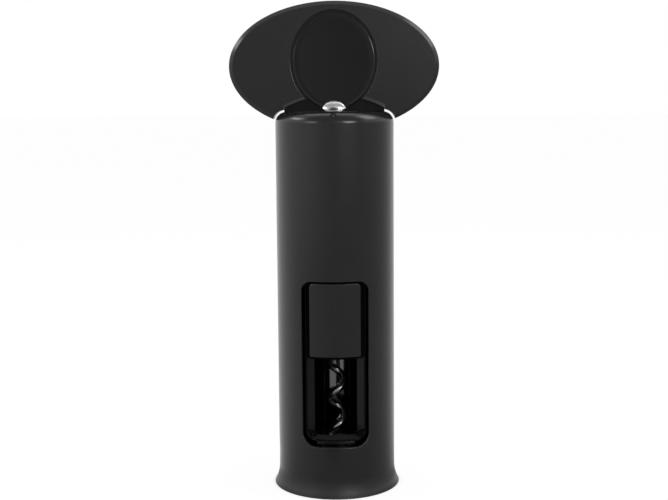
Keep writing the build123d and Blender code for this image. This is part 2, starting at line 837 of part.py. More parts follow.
# Handle core: glossy plate between the halves, moulded round the spindle's tang.
with BuildPart() as handle_core:
    with BuildSketch(Plane.XZ.offset(-half_core)):
        add(core_outline(0))
    extrude(amount=core_thickness)
    add(core_flange.part)
    with BuildSketch(Plane.XZ.offset(-half_core)):
        add(bead_outline(pin_clearance))
    extrude(amount=core_thickness, mode=Mode.SUBTRACT)
    with BuildSketch(Plane.XY.offset(handle_bottom)):
        Circle(neck_radius + pin_clearance)
    extrude(amount=tang_bottom - handle_bottom, mode=Mode.SUBTRACT)
    with BuildSketch(Plane.XY.offset(tang_bottom)):
        Rectangle(tang_width + 2 * pin_clearance, tang_thickness + 2 * pin_clearance)
    extrude(amount=tang_height + pin_clearance, mode=Mode.SUBTRACT)
    with BuildSketch(Plane.XZ.offset(-half_core)):
        with Locations((0, tang_pin_height)):
            with GridLocations(tang_pin_spacing, 1, 2, 1):
                Circle(tang_pin_radius + pin_clearance)
        with Locations((0, disc_centre)):
            with Locations(*handle_screw_places):
                Circle(handle_screw_radius + pin_clearance)
    extrude(amount=core_thickness, mode=Mode.SUBTRACT)
handle_core.part.label = "handle_core"
export_step(handle_core.part, "parts/handle_core.step")

# Tang pins: two pins flush with the core's faces.
with BuildPart() as tang_pins:
    with BuildSketch(Plane.XZ.offset(-half_core)):
        with Locations((0, tang_pin_height)):
            with GridLocations(tang_pin_spacing, 1, 2, 1):
                Circle(tang_pin_radius)
    extrude(amount=core_thickness)
tang_pins.part.label = "tang_pins"
export_step(tang_pins.part, "parts/tang_pins.step")

# Bead end: rounded cap with the bar's lens-shaped outline.
with BuildPart() as bead_end:
    with BuildSketch(Plane.XZ.offset(half_bead)):
        add(bead_outline(0))
    extrude(amount=bead_end_bulge)
    cap_form = scale(
        Sphere(1, mode=Mode.PRIVATE),
        by=(bead_end_half_width, bead_end_bulge, bead_end_half_height),
        mode=Mode.PRIVATE,
    )
    with Locations((0, -half_bead, bead_waist - bead_end_drop)):
        add(cap_form, mode=Mode.INTERSECT)

# Chrome bead: lens-shaped bar across the spindle's neck, with rounded ends that stand out of the discs.
with BuildPart() as chrome_bead:
    with BuildSketch(Plane.XZ.offset(-half_bead)):
        add(bead_outline(0))
    extrude(amount=bead_length)
    add(bead_end.part)
    mirror(bead_end.part, about=Plane.XZ)
    with BuildSketch(Plane.XY.offset(bead_bottom)):
        Circle(neck_radius + pin_clearance)
    extrude(amount=bead_top, mode=Mode.SUBTRACT)
chrome_bead.part.label = "chrome_bead"
export_step(chrome_bead.part, "parts/chrome_bead.step")

# Thumb discs: dished oval inlays, deeper below the arch, scooped out round the bead.
with BuildPart() as thumb_disc_front:
    with BuildSketch(Plane.XZ.offset(disc_back)):
        add(disc_outline(0))
    extrude(amount=disc_face - disc_back)
    fillet(thumb_disc_front.faces().sort_by(Axis.Y)[0].edges(), disc_rim_round)
    with BuildSketch(Plane.XZ.offset(half_core)):
        add(disc_outline(0))
        with Locations((0, arch_centre)):
            Circle(arch_radius - seat_clearance, mode=Mode.INTERSECT)
    extrude(amount=disc_floor)
    dish_share = (1 - (1 - dish_depth / dish_bulge) ** 2) ** 0.5
    dish_tool = scale(
        Sphere(1, mode=Mode.PRIVATE),
        by=(
            (disc_width / 2 - dish_margin) / dish_share,
            dish_bulge,
            (disc_height / 2 - dish_margin) / dish_share,
        ),
        mode=Mode.PRIVATE,
    )
    with Locations((0, dish_depth - disc_face - dish_bulge, disc_centre)):
        add(dish_tool, mode=Mode.SUBTRACT)
    with BuildSketch(Plane.XZ):
        add(bead_outline(pin_clearance))
    extrude(amount=handle_thickness, mode=Mode.SUBTRACT)
thumb_disc_front.part.label = "thumb_disc_front"
export_step(thumb_disc_front.part, "parts/thumb_disc_front.step")

with BuildPart() as thumb_disc_back:
    mirror(thumb_disc_front.part, about=Plane.XZ)
thumb_disc_back.part.label = "thumb_disc_back"
export_step(thumb_disc_back.part, "parts/thumb_disc_back.step")

# Handle screws: countersunk screws that clamp the two halves through the core, under the discs.
with BuildPart() as handle_screw:
    add(screw_head(0))
    with BuildSketch(Plane.XY.offset(disc_floor)):
        Circle(handle_screw_radius)
    extrude(amount=2 * disc_back - disc_floor)
    with BuildSketch():
        Rectangle(2 * handle_screw_head_radius, handle_screw_slot)
    extrude(amount=disc_floor / 2, mode=Mode.SUBTRACT)
with BuildPart() as handle_screws:
    with Locations((0, -disc_back, disc_centre)):
        for place_x, place_z in handle_screw_places:
            with Locations(Location((place_x, 0, place_z), (-90, 0, 0))):
                add(handle_screw.part)
handle_screws.part.label = "handle_screws"
export_step(handle_screws.part, "parts/handle_screws.step")

# Carriage ring: open ring that the bottle's lip lifts, with a stem out through the window.
with BuildPart() as carriage_ring:
    ring_bottom = pad_bottom + seal_thickness
    add(
        turned(
            (ring_bore_radius, ring_bottom),
            (ring_radius, ring_bottom),
            (ring_radius, pad_top),
            (ring_bore_radius, pad_top),
        )
    )
    with BuildSketch(Plane.XY.offset(pad_bottom + stem_inset)):
        add(front_sector(shutter_inner, (ring_bore_radius + ring_radius) / 2, stem_width))
    extrude(amount=pad_height - 2 * stem_inset)
    spring_slot_depth = ring_wall / 2
    with BuildSketch(Plane.XY.offset(pad_middle - spring_height / 2 - slide_clearance)):
        with Locations((0, ring_radius - spring_slot_depth / 2)):
            Rectangle(spring_width + 2 * slide_clearance, spring_slot_depth)
    extrude(amount=spring_height + 2 * slide_clearance, mode=Mode.SUBTRACT)
    with BuildSketch(Plane.XZ):
        with Locations((0, pad_middle)):
            with GridLocations(1, pad_screw_spacing, 1, 2):
                Circle(pad_screw_radius + pin_clearance)
    extrude(amount=shell_bore_radius, mode=Mode.SUBTRACT)
    with BuildSketch(Plane.XZ):
        with Locations((0, pad_middle)):
            with GridLocations(1, pad_screw_spacing, 1, 2):
                Circle(pad_screw_head_radius + pin_clearance)
    extrude(amount=ring_bore_radius + pad_screw_head_height, mode=Mode.SUBTRACT)
carriage_ring.part.label = "carriage_ring"
export_step(carriage_ring.part, "parts/carriage_ring.step")

# Lip seal: soft ring under the carriage that meets the bottle's lip.
with BuildPart() as lip_seal:
    with BuildSketch(Plane.XY.offset(pad_bottom)):
        Circle(ring_radius - seat_clearance)
        Circle(ring_bore_radius + seat_clearance, mode=Mode.SUBTRACT)
    extrude(amount=seal_thickness)
    fillet(lip_seal.edges().group_by(Axis.Z)[0], seal_edge_round)
lip_seal.part.label = "lip_seal"
export_step(lip_seal.part, "parts/lip_seal.step")

# Shutter plate: dark curved plate that closes the window beside the pad.
with BuildPart() as shutter_plate:
    shutter_width = frame_inner_width - 2 * slide_clearance
    add(
        curved_plate(
            shutter_width,
            pad_bottom - shutter_drop,
            pad_top,
            shutter_corner,
            shutter_outer,
            shutter_inner,
        )
    )
    with BuildSketch(Plane.XZ):
        with Locations((0, pad_middle)):
            with GridLocations(1, pad_screw_spacing, 1, 2):
                Circle(pad_screw_radius + pin_clearance)
    extrude(amount=foot_radius, mode=Mode.SUBTRACT)
shutter_plate.part.label = "shutter_plate"
export_step(shutter_plate.part, "parts/shutter_plate.step")

# Thumb pad: satin pad that stands almost flush in the window.
with BuildPart() as thumb_pad:
    with BuildSketch(Plane.XY.offset(pad_bottom)):
        add(front_sector(pad_face_radius, shutter_outer, pad_width))
    extrude(amount=pad_height)
    corner_edges = thumb_pad.edges().filter_by(Axis.Y).group_by(Axis.Z)
    fillet(corner_edges[-1], pad_top_corner)
    corner_edges = thumb_pad.edges().filter_by(Axis.Y).group_by(Axis.Z)
    fillet(corner_edges[0], pad_foot_corner)
    face_edges = thumb_pad.faces().filter_by(GeomType.CYLINDER)
    face_edges = face_edges.filter_by(lambda face: abs(face.radius - pad_face_radius) < pin_clearance)
    fillet(face_edges.edges(), pad_edge_round)
    with BuildSketch(Plane.XZ):
        with Locations((0, pad_middle)):
            with GridLocations(1, pad_screw_spacing, 1, 2):
                Circle(pad_screw_radius + pin_clearance)
    extrude(amount=shutter_outer + pad_screw_bite, mode=Mode.SUBTRACT)
thumb_pad.part.label = "thumb_pad"
export_step(thumb_pad.part, "parts/thumb_pad.step")

# Pad screws: they run out from the ring through stem and shutter into the pad.
with BuildPart() as pad_screws:
    pad_screw_seat = ring_bore_radius + pad_screw_head_height
    pad_screw = slotted_screw(
        pad_screw_head_radius,
        pad_screw_head_height,
        pad_screw_radius,
        shutter_outer + pad_screw_bite - pad_screw_seat - pin_clearance,
    )
    with Locations((0, -ring_bore_radius, pad_middle)):
        with Locations((0, 0, -pad_screw_spacing / 2), (0, 0, pad_screw_spacing / 2)):
            with Locations(Rotation(90, 0, 0)):
                add(pad_screw)
pad_screws.part.label = "pad_screws"
export_step(pad_screws.part, "parts/pad_screws.step")

# Friction spring: bowed leaf in the ring's back that rubs on the sleeve's bore.
with BuildPart() as friction_spring:
    with BuildSketch(Plane.XY.offset(pad_middle - spring_height / 2)):
        with Locations((0, ring_radius - spring_bow_radius)):
            Circle(spring_bow_radius)
            Circle(spring_bow_radius - spring_thickness, mode=Mode.SUBTRACT)
        with Locations((0, ring_radius)):
            Rectangle(spring_width, 2 * spring_slot_depth, mode=Mode.INTERSECT)
    extrude(amount=spring_height)
friction_spring.part.label = "friction_spring"
export_step(friction_spring.part, "parts/friction_spring.step")
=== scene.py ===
from math import radians

import bpy
from mathutils import Matrix, Vector

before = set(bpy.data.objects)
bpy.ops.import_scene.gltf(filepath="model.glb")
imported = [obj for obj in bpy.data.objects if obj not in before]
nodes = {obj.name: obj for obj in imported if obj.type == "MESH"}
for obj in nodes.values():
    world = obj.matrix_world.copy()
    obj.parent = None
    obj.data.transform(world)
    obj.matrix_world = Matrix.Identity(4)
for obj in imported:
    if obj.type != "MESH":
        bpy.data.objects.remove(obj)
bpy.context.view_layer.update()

# Studio: a white paper floor in a white room, with soft boxes at the left, at the right, above and
# beside the camera. Grey panels and cards, which only reflections see, keep black plastic dark in
# front and pale at its edges. The camera itself sees no panel, card or box.
room = bpy.data.worlds.new("white_room")
bpy.context.scene.world = room
room.use_nodes = True
room_nodes = room.node_tree.nodes
room_links = room.node_tree.links
room_nodes.clear()


def plain_view(tree):
    """Factor that is 1 for what the camera, a gloss or a clear piece sees, and 0 for other light."""
    path = tree.nodes.new("ShaderNodeLightPath")
    seen = path.outputs["Is Camera Ray"]
    for ray in ("Is Glossy Ray", "Is Transmission Ray"):
        either = tree.nodes.new("ShaderNodeMath")
        either.operation = "MAXIMUM"
        tree.links.new(seen, either.inputs[0])
        tree.links.new(path.outputs[ray], either.inputs[1])
        seen = either.outputs["Value"]
    return seen


room_paper = room_nodes.new("ShaderNodeBackground")
room_paper.inputs["Color"].default_value = (1, 1, 1, 1)
room_paper.inputs["Strength"].default_value = 1.0
room_glow = room_nodes.new("ShaderNodeBackground")
room_glow.inputs["Color"].default_value = (1, 1, 1, 1)
room_glow.inputs["Strength"].default_value = 0.85
room_mix = room_nodes.new("ShaderNodeMixShader")
room_links.new(plain_view(room.node_tree), room_mix.inputs["Fac"])
room_links.new(room_glow.outputs["Background"], room_mix.inputs[1])
room_links.new(room_paper.outputs["Background"], room_mix.inputs[2])
room_out = room_nodes.new("ShaderNodeOutputWorld")
room_links.new(room_mix.outputs["Shader"], room_out.inputs["Surface"])

shaded_radius = 0.0245
white_radius = 0.0275
white_share = 0.93
bpy.ops.object.select_all(action="DESELECT")
bpy.ops.mesh.primitive_plane_add(size=60.0, location=(0, 0, 0))
floor = bpy.context.object
floor.name = "paper_floor"
paper = bpy.data.materials.new("white_paper")
paper.use_nodes = True
paper_nodes = paper.node_tree.nodes
paper_links = paper.node_tree.links
paper_shader = paper_nodes["Principled BSDF"]
paper_shader.inputs["Base Color"].default_value = (0.95, 0.95, 0.95, 1)
paper_shader.inputs["Roughness"].default_value = 0.9
paper_shader.inputs["Specular IOR Level"].default_value = 0.0
paper_glow = paper_nodes.new("ShaderNodeEmission")
paper_glow.inputs["Strength"].default_value = 1.0
paper_place = paper_nodes.new("ShaderNodeTexCoord")
paper_reach = paper_nodes.new("ShaderNodeVectorMath")
paper_reach.operation = "LENGTH"
paper_links.new(paper_place.outputs["Object"], paper_reach.inputs[0])
paper_lit = paper_nodes.new("ShaderNodeMapRange")
paper_lit.inputs["From Min"].default_value = shaded_radius
paper_lit.inputs["From Max"].default_value = white_radius
paper_lit.inputs["To Max"].default_value = white_share
paper_links.new(paper_reach.outputs["Value"], paper_lit.inputs["Value"])
paper_share = paper_nodes.new("ShaderNodeMath")
paper_share.operation = "MULTIPLY"
paper_links.new(plain_view(paper.node_tree), paper_share.inputs[0])
paper_links.new(paper_lit.outputs["Result"], paper_share.inputs[1])
paper_mix = paper_nodes.new("ShaderNodeMixShader")
paper_links.new(paper_share.outputs["Value"], paper_mix.inputs["Fac"])
paper_links.new(paper_shader.outputs["BSDF"], paper_mix.inputs[1])
paper_links.new(paper_glow.outputs["Emission"], paper_mix.inputs[2])
paper_links.new(paper_mix.outputs["Shader"], paper_nodes["Material Output"].inputs["Surface"])
floor.data.materials.append(paper)


def tent_cloth(panel, tones):
    """Lights a panel for reflections alone. Its tones go by bearing, in shares of a turn:
    0 and 1 are the back, 0.25 is the left, 0.5 the front and 0.75 the right."""
    cloth = bpy.data.materials.new(panel.name)
    cloth.use_nodes = True
    cloth_nodes = cloth.node_tree.nodes
    cloth_links = cloth.node_tree.links
    cloth_nodes.clear()
    place = cloth_nodes.new("ShaderNodeTexCoord")
    turn_to_front = cloth_nodes.new("ShaderNodeMapping")
    turn_to_front.inputs["Rotation"].default_value = (0, 0, radians(90))
    bearing = cloth_nodes.new("ShaderNodeTexGradient")
    bearing.gradient_type = "RADIAL"
    shades = cloth_nodes.new("ShaderNodeValToRGB")
    shades.color_ramp.elements[0].color = (tones[0][1],) * 3 + (1,)
    shades.color_ramp.elements[1].color = (tones[-1][1],) * 3 + (1,)
    for turn, tone in tones[1:-1]:
        shades.color_ramp.elements.new(turn).color = (tone, tone, tone, 1)
    glow = cloth_nodes.new("ShaderNodeEmission")
    out = cloth_nodes.new("ShaderNodeOutputMaterial")
    cloth_links.new(place.outputs["Object"], turn_to_front.inputs["Vector"])
    cloth_links.new(turn_to_front.outputs["Vector"], bearing.inputs["Vector"])
    cloth_links.new(bearing.outputs["Fac"], shades.inputs["Fac"])
    cloth_links.new(shades.outputs["Color"], glow.inputs["Color"])
    cloth_links.new(glow.outputs["Emission"], out.inputs["Surface"])
    panel.data.materials.append(cloth)
    panel.visible_camera = False
    panel.visible_shadow = False
    panel.visible_diffuse = False


tent_radius = 0.90
tent_height = 0.27
wall_tones = (
    (0.00, 1.00), (0.15, 0.92), (0.21, 0.80), (0.26, 0.75), (0.34, 0.66), (0.375, 0.57),
    (0.41, 0.49), (0.45, 0.38), (0.48, 0.33), (0.50, 0.29), (0.55, 0.26), (0.625, 0.29),
    (0.69, 0.35), (0.76, 0.42), (0.81, 0.53), (0.89, 0.84), (1.00, 1.00),
)
ground_tones = (
    (0.00, 0.95), (0.15, 0.90), (0.22, 0.75), (0.30, 0.46), (0.40, 0.30), (0.50, 0.21),
    (0.60, 0.21), (0.68, 0.26), (0.75, 0.36), (0.83, 0.58), (0.91, 0.90), (1.00, 0.95),
)
for panel_name, low_radius, low, high_radius, high, tones in (
    ("tent_wall", tent_radius, 0.0, tent_radius, tent_height, wall_tones),
    ("tent_floor", tent_radius, 0.0020, white_radius, 0.0022, ground_tones),
):
    bpy.ops.object.select_all(action="DESELECT")
    bpy.ops.mesh.primitive_cone_add(
        vertices=96,
        radius1=low_radius,
        radius2=high_radius,
        depth=high - low,
        end_fill_type="NOTHING",
        location=(0, 0, (low + high) / 2),
    )
    panel = bpy.context.object
    panel.name = panel_name
    bpy.ops.object.transform_apply(location=True, rotation=True, scale=True)
    tent_cloth(panel, tones)

for card_name, tone, left, right, near, near_height, far, far_height in (
    ("tent_hood", 0.30, -0.95, 1.10, -0.80, tent_height, -0.30, 1.30),
    ("floor_card", 0.0, -0.032, 0.006, -0.20, 0.0035, -0.075, 0.0035),
):
    bpy.ops.object.select_all(action="DESELECT")
    bpy.ops.mesh.primitive_plane_add(size=1.0)
    card = bpy.context.object
    card.name = card_name
    corners = (
        (left, near, near_height),
        (right, near, near_height),
        (left, far, far_height),
        (right, far, far_height),
    )
    for vertex, corner in zip(card.data.vertices, corners):
        vertex.co = corner
    tent_cloth(card, ((0.0, tone), (1.0, tone)))

lamp_aim = Vector((0, 0, 0.15))
for lamp_name, place, width, height, power in (
    ("left_box", (-0.85, -0.05, 0.70), 0.40, 0.20, 1.40),
    ("right_box", (0.72, -0.10, 0.83), 0.40, 0.52, 2.00),
    ("camera_right_box", (0.34, -0.74, 0.32), 0.44, 0.09, 1.30),
    ("camera_left_box", (-0.56, -0.58, 0.32), 0.30, 0.08, 0.32),
    ("top_box", (0.0, 0.35, 1.05), 1.00, 0.60, 1.80),
):
    lamp_data = bpy.data.lights.new(lamp_name, "AREA")
    lamp_data.shape = "RECTANGLE"
    lamp_data.size = width
    lamp_data.size_y = height
    lamp_data.energy = power
    lamp = bpy.data.objects.new(lamp_name, lamp_data)
    bpy.context.scene.collection.objects.link(lamp)
    lamp.location = place
    heading = lamp_aim - lamp.location
    lamp.rotation_euler = heading.to_track_quat("-Z", "Y").to_euler()

# Camera: level with the shoulder and tilted down, a little to the right of the front,
# at the distance at which the foot and the handle show as in the photograph.
camera_place = (-0.0006, -0.46104, 0.15511)
camera_turn = radians(1.1)
camera_pitch = radians(90 - 7.1)
camera_roll = radians(-0.45)
camera_data = bpy.data.cameras.new("camera")
camera_data.lens = 60.575
camera_data.sensor_width = 36.0
camera_data.sensor_fit = "HORIZONTAL"
camera_data.clip_start = 0.01
camera = bpy.data.objects.new("camera", camera_data)
bpy.context.scene.collection.objects.link(camera)
camera.matrix_world = (
    Matrix.Rotation(camera_turn, 4, "Z")
    @ Matrix.Translation(camera_place)
    @ Matrix.Rotation(camera_pitch, 4, "X")
    @ Matrix.Rotation(camera_roll, 4, "Z")
)
bpy.context.scene.camera = camera
bpy.context.scene.view_settings.view_transform = "Standard"


# Inner sleeve: the lining tube that everything else is built on, with the carriage's bore and the
# cork chamber in it. It is made here as a drawn metal tube with dark lacquered sides and a strip of
# bright metal along its middle. That strip is a painted reflection strip: only there does the bore
# reflect the window, and that reflection shows at the back of the window as a pale band.
def effect_group(name, inputs, outputs):
    """Empty shader node group that takes a Vector and the named values, with its two ends."""
    group = bpy.data.node_groups.new(name, "ShaderNodeTree")
    group.interface.new_socket("Vector", in_out="INPUT", socket_type="NodeSocketVector")
    for socket in inputs:
        group.interface.new_socket(socket, in_out="INPUT", socket_type="NodeSocketFloat")
    for socket in outputs:
        group.interface.new_socket(socket, in_out="OUTPUT", socket_type="NodeSocketFloat")
    return group, group.nodes.new("NodeGroupInput"), group.nodes.new("NodeGroupOutput")


rings_group, rings_in, rings_out = effect_group(
    "tool_rings", ("Ring Scale", "Roughness", "Rubbing"), ("Shade", "Roughness", "Height")
)
tool_marks = rings_group.nodes.new("ShaderNodeTexWave")
tool_marks.wave_type = "BANDS"
tool_marks.bands_direction = "Z"
tool_marks.inputs["Distortion"].default_value = 1.2
tool_marks.inputs["Detail"].default_value = 3.0
tool_marks.inputs["Detail Scale"].default_value = 1.5
rings_group.links.new(rings_in.outputs["Vector"], tool_marks.inputs["Vector"])
rings_group.links.new(rings_in.outputs["Ring Scale"], tool_marks.inputs["Scale"])
rubbed_spots = rings_group.nodes.new("ShaderNodeTexNoise")
rubbed_spots.inputs["Scale"].default_value = 120.0
rubbed_spots.inputs["Detail"].default_value = 5.0
rubbed_spots.inputs["Roughness"].default_value = 0.6
rings_group.links.new(rings_in.outputs["Vector"], rubbed_spots.inputs["Vector"])
marks_and_spots = rings_group.nodes.new("ShaderNodeMath")
marks_and_spots.operation = "MULTIPLY"
rings_group.links.new(tool_marks.outputs["Fac"], marks_and_spots.inputs[0])
rings_group.links.new(rubbed_spots.outputs["Fac"], marks_and_spots.inputs[1])
rubbed_gloss = rings_group.nodes.new("ShaderNodeMath")
rubbed_gloss.operation = "MULTIPLY_ADD"
rings_group.links.new(rubbed_spots.outputs["Fac"], rubbed_gloss.inputs[0])
rings_group.links.new(rings_in.outputs["Rubbing"], rubbed_gloss.inputs[1])
rings_group.links.new(rings_in.outputs["Roughness"], rubbed_gloss.inputs[2])
rings_group.links.new(marks_and_spots.outputs["Value"], rings_out.inputs["Shade"])
rings_group.links.new(rubbed_gloss.outputs["Value"], rings_out.inputs["Roughness"])
rings_group.links.new(tool_marks.outputs["Fac"], rings_out.inputs["Height"])


def metal_finish(name, dark, pale, roughness, rubbing, ring_scale, relief):
    """Metal with fine level rings, as a tool or a die leaves them, and with rubbed spots."""
    finish = bpy.data.materials.new(name)
    finish.use_nodes = True
    finish_nodes = finish.node_tree.nodes
    finish_links = finish.node_tree.links
    shader = finish_nodes["Principled BSDF"]
    shader.inputs["Metallic"].default_value = 1.0
    coordinates = finish_nodes.new("ShaderNodeTexCoord")
    rings = finish_nodes.new("ShaderNodeGroup")
    rings.node_tree = rings_group
    rings.inputs["Ring Scale"].default_value = ring_scale
    rings.inputs["Roughness"].default_value = roughness
    rings.inputs["Rubbing"].default_value = rubbing
    finish_links.new(coordinates.outputs["Object"], rings.inputs["Vector"])
    tint = finish_nodes.new("ShaderNodeMix")
    tint.data_type = "RGBA"
    tint.inputs["A"].default_value = (*dark, 1)
    tint.inputs["B"].default_value = (*pale, 1)
    finish_links.new(rings.outputs["Shade"], tint.inputs["Factor"])
    finish_links.new(tint.outputs["Result"], shader.inputs["Base Color"])
    finish_links.new(rings.outputs["Roughness"], shader.inputs["Roughness"])
    grooves = finish_nodes.new("ShaderNodeBump")
    grooves.inputs["Strength"].default_value = relief
    grooves.inputs["Distance"].default_value = 0.00002
    finish_links.new(rings.outputs["Height"], grooves.inputs["Height"])
    finish_links.new(grooves.outputs["Normal"], shader.inputs["Normal"])
    return finish


def split_place(finish):
    """Node that splits the finish's object coordinates into X, Y and Z."""
    split = finish.node_tree.nodes.new("ShaderNodeSeparateXYZ")
    coordinates = finish.node_tree.nodes["Texture Coordinate"]
    finish.node_tree.links.new(coordinates.outputs["Object"], split.inputs["Vector"])
    return split


def edge_mask(finish, measure, none_at, full_at, blend="SMOOTHSTEP"):
    """Mask that goes from 0 to 1 while the measure goes from none_at to full_at."""
    edge = finish.node_tree.nodes.new("ShaderNodeMapRange")
    edge.interpolation_type = blend
    edge.inputs["From Min"].default_value = none_at
    edge.inputs["From Max"].default_value = full_at
    finish.node_tree.links.new(measure, edge.inputs["Value"])
    return edge.outputs["Result"]


def cover(finish, socket, mask, top):
    """Lays a colour or a value over what feeds one socket of the finish, where the mask is 1."""
    fed_socket = finish.node_tree.nodes["Principled BSDF"].inputs[socket]
    layer = finish.node_tree.nodes.new("ShaderNodeMix")
    layer.data_type = "RGBA" if socket == "Base Color" else "FLOAT"
    layer.inputs["B"].default_value = top
    finish.node_tree.links.new(mask, layer.inputs["Factor"])
    finish.node_tree.links.new(fed_socket.links[0].from_socket, layer.inputs["A"])
    finish.node_tree.links.new(layer.outputs["Result"], fed_socket)


def paint(finish, *names):
    """Puts a finish on the named solids."""
    for name in names:
        nodes[name].data.materials.clear()
        nodes[name].data.materials.append(finish)


# Half width of the painted reflection strip of bright metal down the lining's middle; the dark sides
# begin beyond it.
reflection_strip_half_width = 0.0048
lacquer_edge = 0.0058
lacquer_black = (0.004, 0.004, 0.004, 1)
lacquer_roughness = 0.45
reflection_strip_lining = metal_finish(
    "reflection_strip_lining", dark=(0.40, 0.40, 0.41), pale=(0.46, 0.46, 0.47),
    roughness=0.06, rubbing=0.06, ring_scale=350, relief=0.02,
)
off_middle = reflection_strip_lining.node_tree.nodes.new("ShaderNodeMath")
off_middle.operation = "ABSOLUTE"
reflection_strip_lining.node_tree.links.new(
    split_place(reflection_strip_lining).outputs["X"], off_middle.inputs[0]
)
beside_strip_mask = edge_mask(
    reflection_strip_lining, off_middle.outputs["Value"], none_at=reflection_strip_half_width, full_at=lacquer_edge
)
cover(reflection_strip_lining, "Base Color", beside_strip_mask, lacquer_black)
cover(reflection_strip_lining, "Roughness", beside_strip_mask, lacquer_roughness)
paint(reflection_strip_lining, "inner_sleeve")

# Window frame: a U-shaped moulding of high-gloss black plastic, clipped into the lining's slot,
# with bevelled legs, a thin rim and a small tab on the sill.
grain_group, grain_in, grain_out = effect_group(
    "moulded_grain", ("Grain Scale", "Roughness", "Smear"), ("Height", "Roughness", "Shade")
)
pebbles = grain_group.nodes.new("ShaderNodeTexNoise")
pebbles.inputs["Detail"].default_value = 3.0
pebbles.inputs["Roughness"].default_value = 0.6
grain_group.links.new(grain_in.outputs["Vector"], pebbles.inputs["Vector"])
grain_group.links.new(grain_in.outputs["Grain Scale"], pebbles.inputs["Scale"])
grain_group.links.new(pebbles.outputs["Fac"], grain_out.inputs["Height"])
hand_marks = grain_group.nodes.new("ShaderNodeTexNoise")
hand_marks.inputs["Scale"].default_value = 55.0
hand_marks.inputs["Detail"].default_value = 5.0
hand_marks.inputs["Roughness"].default_value = 0.55
hand_marks.inputs["Distortion"].default_value = 0.6
grain_group.links.new(grain_in.outputs["Vector"], hand_marks.inputs["Vector"])
mark_centre = grain_group.nodes.new("ShaderNodeMath")
mark_centre.operation = "SUBTRACT"
mark_centre.inputs[1].default_value = 0.5
grain_group.links.new(hand_marks.outputs["Fac"], mark_centre.inputs[0])
mark_share = grain_group.nodes.new("ShaderNodeMath")
mark_share.operation = "MULTIPLY_ADD"
grain_group.links.new(mark_centre.outputs["Value"], mark_share.inputs[0])
grain_group.links.new(grain_in.outputs["Smear"], mark_share.inputs[1])
grain_group.links.new(grain_in.outputs["Roughness"], mark_share.inputs[2])
hairline_place = grain_group.nodes.new("ShaderNodeMapping")
hairline_place.inputs["Rotation"].default_value = (radians(8), radians(-14), 0)
hairline_place.inputs["Scale"].default_value = (9.0, 9.0, 0.35)
grain_group.links.new(grain_in.outputs["Vector"], hairline_place.inputs["Vector"])
hairlines = grain_group.nodes.new("ShaderNodeTexNoise")
hairlines.inputs["Scale"].default_value = 320.0
hairlines.inputs["Detail"].default_value = 2.0
grain_group.links.new(hairline_place.outputs["Vector"], hairlines.inputs["Vector"])
hairline_share = grain_group.nodes.new("ShaderNodeMapRange")
hairline_share.inputs["From Min"].default_value = 0.66
hairline_share.inputs["From Max"].default_value = 0.76
hairline_share.inputs["To Max"].default_value = 0.07
grain_group.links.new(hairlines.outputs["Fac"], hairline_share.inputs["Value"])
marked_gloss = grain_group.nodes.new("ShaderNodeMath")
marked_gloss.operation = "ADD"
grain_group.links.new(mark_share.outputs["Value"], marked_gloss.inputs[0])
grain_group.links.new(hairline_share.outputs["Result"], marked_gloss.inputs[1])
grain_group.links.new(marked_gloss.outputs["Value"], grain_out.inputs["Roughness"])
grain_group.links.new(hand_marks.outputs["Fac"], grain_out.inputs["Shade"])


def moulded_finish(name, dark, pale, roughness, smear, grain_scale, relief, gloss):
    """Plastic or rubber whose colour, gloss and surface follow moulded grain and marks of hands."""
    finish = bpy.data.materials.new(name)
    finish.use_nodes = True
    finish_nodes = finish.node_tree.nodes
    finish_links = finish.node_tree.links
    shader = finish_nodes["Principled BSDF"]
    shader.inputs["Specular IOR Level"].default_value = gloss
    coordinates = finish_nodes.new("ShaderNodeTexCoord")
    grain = finish_nodes.new("ShaderNodeGroup")
    grain.node_tree = grain_group
    grain.inputs["Grain Scale"].default_value = grain_scale
    grain.inputs["Roughness"].default_value = roughness
    grain.inputs["Smear"].default_value = smear
    finish_links.new(coordinates.outputs["Object"], grain.inputs["Vector"])
    tint = finish_nodes.new("ShaderNodeMix")
    tint.data_type = "RGBA"
    tint.inputs["A"].default_value = (*dark, 1)
    tint.inputs["B"].default_value = (*pale, 1)
    finish_links.new(grain.outputs["Shade"], tint.inputs["Factor"])
    finish_links.new(tint.outputs["Result"], shader.inputs["Base Color"])
    finish_links.new(grain.outputs["Roughness"], shader.inputs["Roughness"])
    pores = finish_nodes.new("ShaderNodeBump")
    pores.inputs["Strength"].default_value = relief
    pores.inputs["Distance"].default_value = 0.00004
    finish_links.new(grain.outputs["Height"], pores.inputs["Height"])
    finish_links.new(pores.outputs["Normal"], shader.inputs["Normal"])
    return finish


gloss_black = moulded_finish(
    "gloss_black", dark=(0.003, 0.003, 0.003), pale=(0.006, 0.006, 0.006),
    roughness=0.10, smear=0.10, grain_scale=900, relief=0.02, gloss=0.30,
)
paint(gloss_black, "window_frame")

# Neck guide ring: a plain black moulding in the foot, with a lead-in for the bottle's neck,
# drawn up against the lining by three slotted steel screws.
lining_black = moulded_finish(
    "lining_black", dark=(0.002, 0.002, 0.002), pale=(0.004, 0.004, 0.004),
    roughness=0.42, smear=0.12, grain_scale=2000, relief=0.20, gloss=0.15,
)
paint(lining_black, "neck_guide_ring")
turned_steel = metal_finish(
    "turned_steel", dark=(0.48, 0.48, 0.49), pale=(0.62, 0.62, 0.63),
    roughness=0.22, rubbing=0.14, ring_scale=900, relief=0.15,
)
paint(turned_steel, "base_screws")

# Carriage ring, seal and spring: a black moulded ring that the bottle's lip lifts, a soft rubber
# ring pressed in under it, and a bowed leaf of spring steel in its back.
paint(lining_black, "carriage_ring")
seal_rubber = moulded_finish(
    "seal_rubber", dark=(0.010, 0.010, 0.010), pale=(0.018, 0.018, 0.018),
    roughness=0.75, smear=0.15, grain_scale=3000, relief=0.35, gloss=0.30,
)
paint(seal_rubber, "lip_seal")
paint(turned_steel, "friction_spring")
